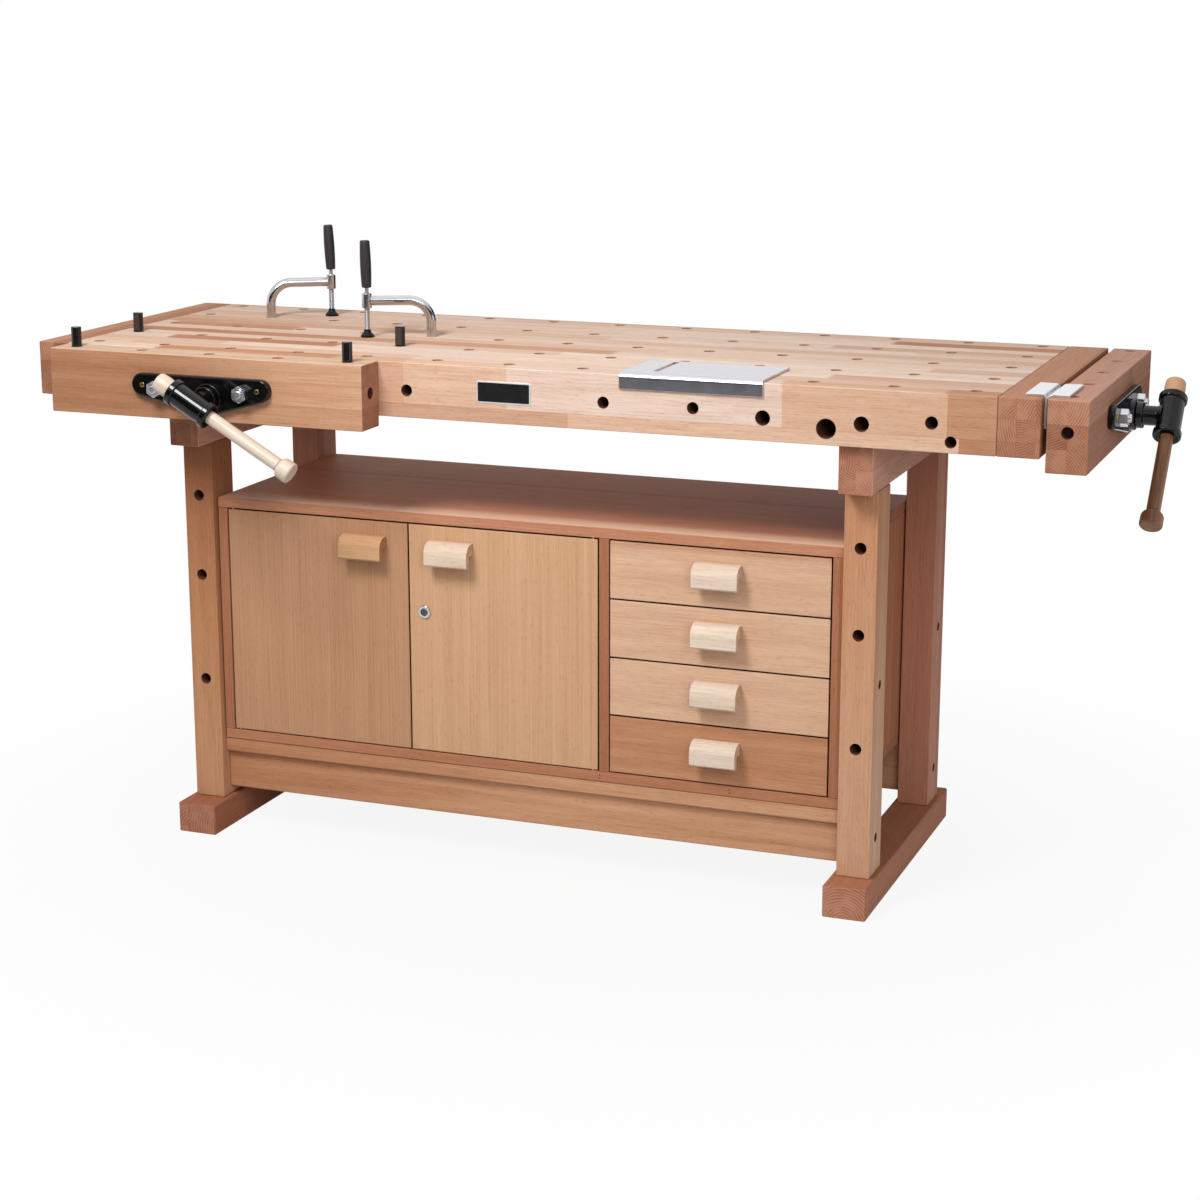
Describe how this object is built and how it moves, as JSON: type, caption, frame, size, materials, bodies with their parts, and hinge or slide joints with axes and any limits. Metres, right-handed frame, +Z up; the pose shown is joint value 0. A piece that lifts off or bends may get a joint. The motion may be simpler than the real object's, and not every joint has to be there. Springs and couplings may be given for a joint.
{
  "type": "woodworking bench",
  "caption": "Beech joiner's bench with a front vise, a tail vise, dog holes, dogs and holdfasts for clamping work, on trestles round a cabinet with doors and drawers.",
  "frame": {"origin": "middle of the bench's whole extent, on the floor", "axes": "+X along the bench to the tail vise, +Y from the front to the back, +Z up"},
  "size_m": [1.9828, 0.7648, 1.0745],
  "materials": {
    "beech": "satin oil",
    "red_beech": "satin oil",
    "pale_beech": "satin lacquer",
    "turned_wood": "satin lacquer",
    "black_enamel": "gloss enamel",
    "chrome": "polished",
    "steel": "bright drawn",
    "aluminium": "satin",
    "black_plastic": "fine grain"
  },
  "bodies": {
    "bench": {"bench_top": "beech", "left_end_cap": "red_beech", "right_end_cap": "red_beech", "end_cap_jaw_plate": "aluminium", "front_vise_nut_bracket": "steel", "tail_vise_nut_bracket": "steel", "left_foot": "red_beech", "right_foot": "red_beech", "left_bearer": "red_beech", "right_bearer": "red_beech", "front_left_leg": "beech", "rear_left_leg": "beech", "front_right_leg": "beech", "rear_right_leg": "beech", "front_stretcher": "beech", "rear_stretcher": "beech", "cabinet_top": "red_beech", "cabinet_bottom": "red_beech", "cabinet_left_side": "red_beech", "cabinet_right_side": "red_beech", "cabinet_back": "pale_beech", "cabinet_divider": "red_beech"},
    "loose_plate": {"bench_plate": "aluminium"},
    "front_jaw": {"front_vise_jaw": "beech", "front_vise_plate": "black_enamel", "front_vise_left_rod": "chrome", "front_vise_right_rod": "chrome"},
    "front_screw": {"front_vise_screw": "black_enamel"},
    "front_bar": {"front_vise_bar": "turned_wood"},
    "tail_jaw": {"tail_vise_jaw": "red_beech", "tail_vise_plate": "black_enamel", "tail_vise_front_rod": "chrome", "tail_vise_rear_rod": "chrome", "tail_vise_jaw_plate": "aluminium"},
    "tail_screw": {"tail_vise_screw": "black_enamel"},
    "tail_bar": {"tail_vise_bar": "turned_wood"},
    "left_door": {"left_door": "pale_beech", "left_door_pull": "turned_wood"},
    "right_door": {"right_door": "pale_beech", "right_door_pull": "turned_wood"},
    "door_lock": {"door_lock": "chrome"},
    "drawer_1": {"drawer_1": "pale_beech", "drawer_1_pull": "turned_wood"},
    "drawer_2": {"drawer_2": "pale_beech", "drawer_2_pull": "turned_wood"},
    "drawer_3": {"drawer_3": "pale_beech", "drawer_3_pull": "turned_wood"},
    "drawer_4": {"drawer_4": "pale_beech", "drawer_4_pull": "turned_wood"},
    "jaw_dog_left": {"jaw_dog_left": "black_plastic"},
    "jaw_dog_right": {"jaw_dog_right": "black_plastic"},
    "bench_dog_left": {"bench_dog_left": "black_plastic"},
    "bench_dog_right": {"bench_dog_right": "black_plastic"},
    "left_holdfast_arm": {"left_holdfast_arm": "chrome"},
    "left_holdfast_pad": {"left_holdfast_pad": "black_plastic"},
    "left_holdfast_spindle": {"left_holdfast_spindle": "steel"},
    "right_holdfast_arm": {"right_holdfast_arm": "chrome"},
    "right_holdfast_pad": {"right_holdfast_pad": "black_plastic"},
    "right_holdfast_spindle": {"right_holdfast_spindle": "steel"}
  },
  "joints": [
    {"name": "front_jaw_slide", "type": "slide", "parent": "bench", "child": "front_jaw", "axis": [0, -1, 0], "range_m": [0, 0.15]},
    {"name": "front_screw_turn", "type": "hinge", "parent": "front_jaw", "child": "front_screw", "pos_m": [-0.6024, -0.3591, 0.831], "axis": [0, -1, 0], "range_deg": [0, 9000]},
    {"name": "front_bar_slide", "type": "slide", "parent": "front_screw", "child": "front_bar", "axis": [-0.866, 0, 0.5], "range_m": [0, 0.147]},
    {"name": "tail_jaw_slide", "type": "slide", "parent": "bench", "child": "tail_jaw", "axis": [1, 0, 0], "range_m": [0, 0.15]},
    {"name": "tail_screw_turn", "type": "hinge", "parent": "tail_jaw", "child": "tail_screw", "pos_m": [0.9679, 0.1024, 0.831], "axis": [1, 0, 0], "range_deg": [0, 9000]},
    {"name": "tail_bar_slide", "type": "slide", "parent": "tail_screw", "child": "tail_bar", "axis": [0, 0.7071, 0.7071], "range_m": [0, 0.147]},
    {"name": "loose_plate_slide", "type": "slide", "parent": "bench", "child": "loose_plate", "axis": [1, 0, 0], "range_m": [-0.4, 0.4]},
    {"name": "left_door_hinge", "type": "hinge", "parent": "bench", "child": "left_door", "pos_m": [-0.65265, -0.1346, 0.4], "axis": [0, 0, -1], "range_deg": [0, 105]},
    {"name": "right_door_hinge", "type": "hinge", "parent": "bench", "child": "right_door", "pos_m": [0.04335, -0.1346, 0.4], "axis": [0, 0, 1], "range_deg": [0, 85]},
    {"name": "door_lock_turn", "type": "hinge", "parent": "right_door", "child": "door_lock", "pos_m": [-0.2744, -0.1396, 0.4455], "axis": [0, -1, 0], "range_deg": [0, 90]},
    {"name": "drawer_1_slide", "type": "slide", "parent": "bench", "child": "drawer_1", "axis": [0, -1, 0], "range_m": [0, 0.35]},
    {"name": "drawer_2_slide", "type": "slide", "parent": "bench", "child": "drawer_2", "axis": [0, -1, 0], "range_m": [0, 0.35]},
    {"name": "drawer_3_slide", "type": "slide", "parent": "bench", "child": "drawer_3", "axis": [0, -1, 0], "range_m": [0, 0.35]},
    {"name": "drawer_4_slide", "type": "slide", "parent": "bench", "child": "drawer_4", "axis": [0, -1, 0], "range_m": [0, 0.35]},
    {"name": "jaw_dog_left_slide", "type": "slide", "parent": "front_jaw", "child": "jaw_dog_left", "axis": [0, 0, 1], "range_m": [-0.03, 0.06]},
    {"name": "bench_dog_left_slide", "type": "slide", "parent": "bench", "child": "bench_dog_left", "axis": [0, 0, 1], "range_m": [-0.03, 0.06]},
    {"name": "jaw_dog_right_slide", "type": "slide", "parent": "front_jaw", "child": "jaw_dog_right", "axis": [0, 0, 1], "range_m": [-0.03, 0.06]},
    {"name": "bench_dog_right_slide", "type": "slide", "parent": "bench", "child": "bench_dog_right", "axis": [0, 0, 1], "range_m": [-0.03, 0.06]},
    {"name": "left_holdfast_swing", "type": "hinge", "parent": "bench", "child": "left_holdfast_arm", "pos_m": [-0.7584, 0.2249, 0.9], "axis": [0, 0, 1], "continuous": true},
    {"name": "left_holdfast_pad_slide", "type": "slide", "parent": "left_holdfast_arm", "child": "left_holdfast_pad", "axis": [0, 0, 1], "range_m": [0, 0.03]},
    {"name": "left_holdfast_spindle_turn", "type": "hinge", "parent": "left_holdfast_pad", "child": "left_holdfast_spindle", "pos_m": [-0.66003, 0.28637, 1], "axis": [0, 0, 1], "range_deg": [0, 5400]},
    {"name": "right_holdfast_swing", "type": "hinge", "parent": "bench", "child": "right_holdfast_arm", "pos_m": [-0.3594, 0.0919, 0.9], "axis": [0, 0, 1], "range_deg": [-180, 45]},
    {"name": "right_holdfast_pad_slide", "type": "slide", "parent": "right_holdfast_arm", "child": "right_holdfast_pad", "axis": [0, 0, 1], "range_m": [0, 0.03]},
    {"name": "right_holdfast_spindle_turn", "type": "hinge", "parent": "right_holdfast_pad", "child": "right_holdfast_spindle", "pos_m": [-0.46401, 0.04178, 1], "axis": [0, 0, 1], "range_deg": [0, 5400]}
  ],
  "couplings": [
    {"joint": "front_jaw_slide", "follows": "front_screw_turn", "m_per_rad": 0.00095493},
    {"joint": "tail_jaw_slide", "follows": "tail_screw_turn", "m_per_rad": 0.00095493},
    {"joint": "left_holdfast_spindle_turn", "follows": "left_holdfast_pad_slide", "rad_per_m": 3141.6},
    {"joint": "right_holdfast_spindle_turn", "follows": "right_holdfast_pad_slide", "rad_per_m": 3141.6}
  ]
}
